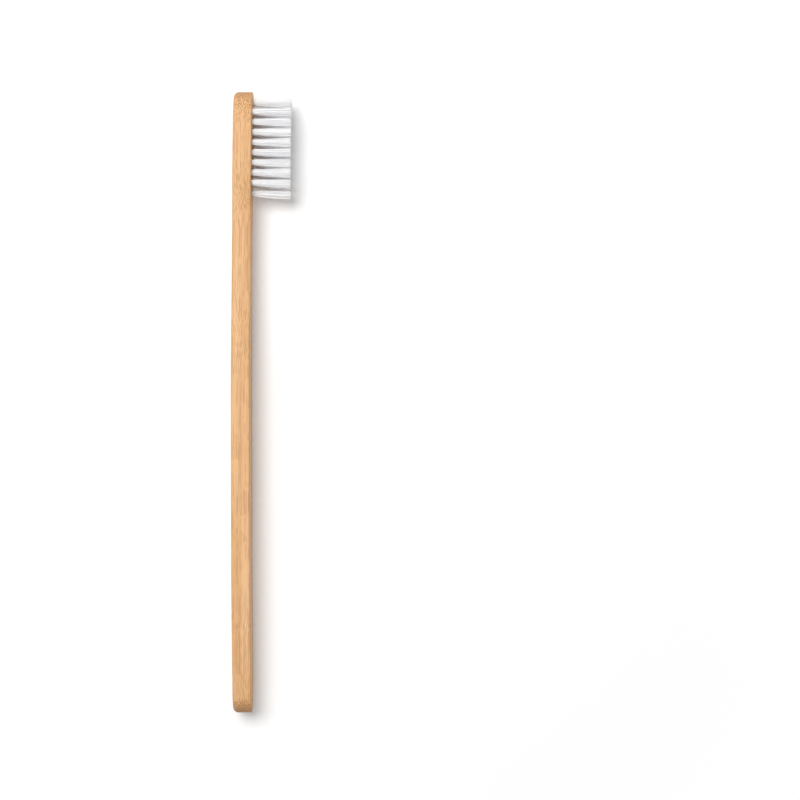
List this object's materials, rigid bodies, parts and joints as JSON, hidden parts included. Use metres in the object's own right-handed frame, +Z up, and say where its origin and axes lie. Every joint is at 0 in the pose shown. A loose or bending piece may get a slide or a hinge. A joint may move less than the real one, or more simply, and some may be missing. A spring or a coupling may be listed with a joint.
{
  "type": "manual toothbrush",
  "caption": "Manual toothbrush with a flat shaped bamboo handle, a slim neck and an oval head of upright white bristle tufts, trimmed level, for cleaning teeth by hand.",
  "frame": {"origin": "on the surface that the brush lies on, under the middle of its length and of its whole depth from the handle's back to the bristle tips", "axes": "+Y along the brush to the tip of the head, +X the way the bristles point, +Z up, across the width of the handle, with the brush lying on its side"},
  "size_m": [0.0178, 0.19, 0.013],
  "materials": {
    "bamboo": "sanded, bare",
    "anchor_brass": "plain strip",
    "filament_nylon": "white nylon filaments"
  },
  "bodies": {
    "root": {"bamboo_handle": "bamboo", "tuft_anchors": "anchor_brass", "bristle_tuft_r01_c2": "filament_nylon", "bristle_tuft_r01_c3": "filament_nylon", "bristle_tuft_r02_c1": "filament_nylon", "bristle_tuft_r02_c2": "filament_nylon", "bristle_tuft_r02_c3": "filament_nylon", "bristle_tuft_r02_c4": "filament_nylon", "bristle_tuft_r03_c1": "filament_nylon", "bristle_tuft_r03_c2": "filament_nylon", "bristle_tuft_r03_c3": "filament_nylon", "bristle_tuft_r03_c4": "filament_nylon", "bristle_tuft_r04_c1": "filament_nylon", "bristle_tuft_r04_c2": "filament_nylon", "bristle_tuft_r04_c3": "filament_nylon", "bristle_tuft_r04_c4": "filament_nylon", "bristle_tuft_r05_c1": "filament_nylon", "bristle_tuft_r05_c2": "filament_nylon", "bristle_tuft_r05_c3": "filament_nylon", "bristle_tuft_r05_c4": "filament_nylon", "bristle_tuft_r06_c1": "filament_nylon", "bristle_tuft_r06_c2": "filament_nylon", "bristle_tuft_r06_c3": "filament_nylon", "bristle_tuft_r06_c4": "filament_nylon", "bristle_tuft_r07_c1": "filament_nylon", "bristle_tuft_r07_c2": "filament_nylon", "bristle_tuft_r07_c3": "filament_nylon", "bristle_tuft_r07_c4": "filament_nylon", "bristle_tuft_r08_c1": "filament_nylon", "bristle_tuft_r08_c2": "filament_nylon", "bristle_tuft_r08_c3": "filament_nylon", "bristle_tuft_r08_c4": "filament_nylon", "bristle_tuft_r09_c1": "filament_nylon", "bristle_tuft_r09_c2": "filament_nylon", "bristle_tuft_r09_c3": "filament_nylon", "bristle_tuft_r09_c4": "filament_nylon", "bristle_tuft_r10_c2": "filament_nylon", "bristle_tuft_r10_c3": "filament_nylon"}
  },
  "joints": []
}
